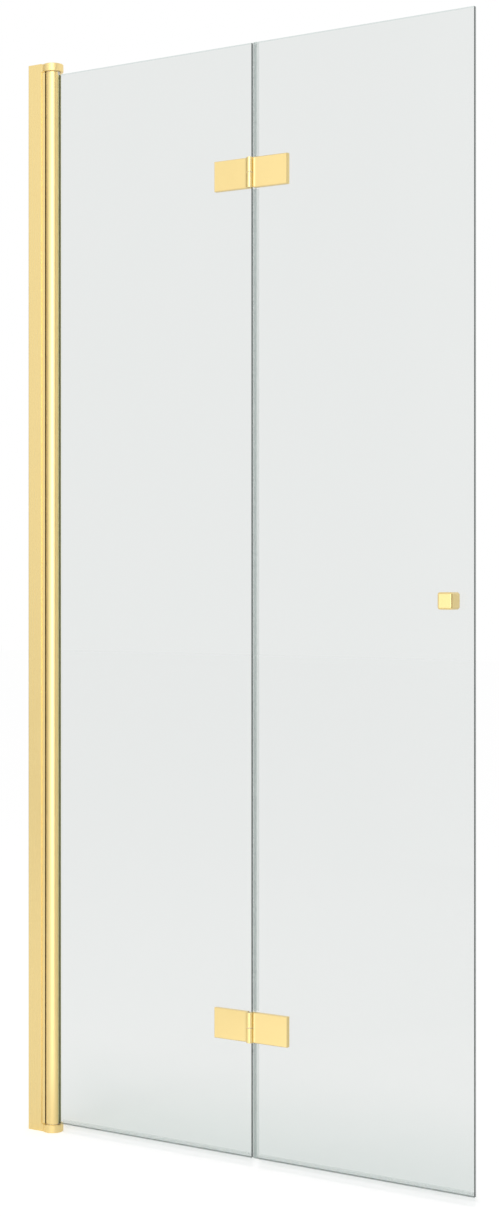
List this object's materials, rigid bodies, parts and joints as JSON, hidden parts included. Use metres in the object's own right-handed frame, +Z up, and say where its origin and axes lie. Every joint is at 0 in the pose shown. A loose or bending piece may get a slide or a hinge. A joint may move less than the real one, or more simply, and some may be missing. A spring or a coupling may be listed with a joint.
{
  "type": "folding shower door",
  "caption": "Trackless folding shower door: wall profile, round pivot post and clear glass leaves with barrel hinges, a square knob and clear seals.",
  "frame": {"origin": "where the pivot axis of the door meets the shower tray, at the middle of the lower collar's underside", "axes": "+X along the closed door away from the wall, +Y into the shower, +Z up along the pivot axis"},
  "size_m": [0.9, 0.0492, 1.95],
  "materials": {
    "profile_gold": "bright gold anodised",
    "post_gold": "polished gold anodised",
    "fitting_gold": "polished pale gold",
    "steel": "stainless",
    "clear_glass": "clear toughened, polished edges",
    "clear_seal": "clear flexible",
    "clear_pad": "clear",
    "dark_seal": "matt",
    "white_plastic": "satin"
  },
  "bodies": {
    "frame": {"wall_profile": "profile_gold", "adjusting_profile": "profile_gold", "adjusting_screws": "steel", "adjusting_screw_caps": "fitting_gold", "top_pivot_bracket": "fitting_gold", "bottom_pivot_bracket": "fitting_gold", "bracket_screws": "steel", "top_pivot_pin": "steel", "bottom_pivot_pin": "steel", "post_wiper_seal": "dark_seal", "profile_top_cap": "profile_gold"},
    "inner_leaf": {"post": "post_gold", "post_top_bush": "white_plastic", "post_bottom_bush": "white_plastic", "glazing_gasket": "clear_seal", "glass_setting_blocks": "white_plastic", "inner_glass": "clear_glass", "inner_bottom_seal": "clear_seal", "upper_hinge_inner_plate": "fitting_gold", "lower_hinge_inner_plate": "fitting_gold", "upper_hinge_pin": "steel", "lower_hinge_pin": "steel", "inner_hinge_pads": "clear_pad", "inner_hinge_sleeves": "clear_pad", "inner_hinge_disc_pads": "clear_pad", "inner_hinge_discs": "fitting_gold", "inner_hinge_screws": "steel"},
    "outer_leaf": {"outer_glass": "clear_glass", "outer_bottom_seal": "clear_seal", "seam_seal": "clear_seal", "upper_hinge_outer_plate": "fitting_gold", "lower_hinge_outer_plate": "fitting_gold", "upper_hinge_bush": "white_plastic", "lower_hinge_bush": "white_plastic", "outer_hinge_pads": "clear_pad", "outer_hinge_sleeves": "clear_pad", "outer_hinge_disc_pads": "clear_pad", "outer_hinge_discs": "fitting_gold", "outer_hinge_screws": "steel", "knob": "fitting_gold", "knob_pad": "clear_pad", "knob_sleeve": "clear_pad", "knob_disc_pad": "clear_pad", "knob_disc": "fitting_gold", "knob_screw": "steel"}
  },
  "joints": [
    {"name": "post_pivot", "type": "hinge", "parent": "frame", "child": "inner_leaf", "pos_m": [0, 0, 0], "axis": [0, 0, 1], "range_deg": [-90, 90]},
    {"name": "leaf_fold", "type": "hinge", "parent": "inner_leaf", "child": "outer_leaf", "pos_m": [0.4332, -0.013, 0], "axis": [0, 0, -1], "range_deg": [0, 175]}
  ]
}
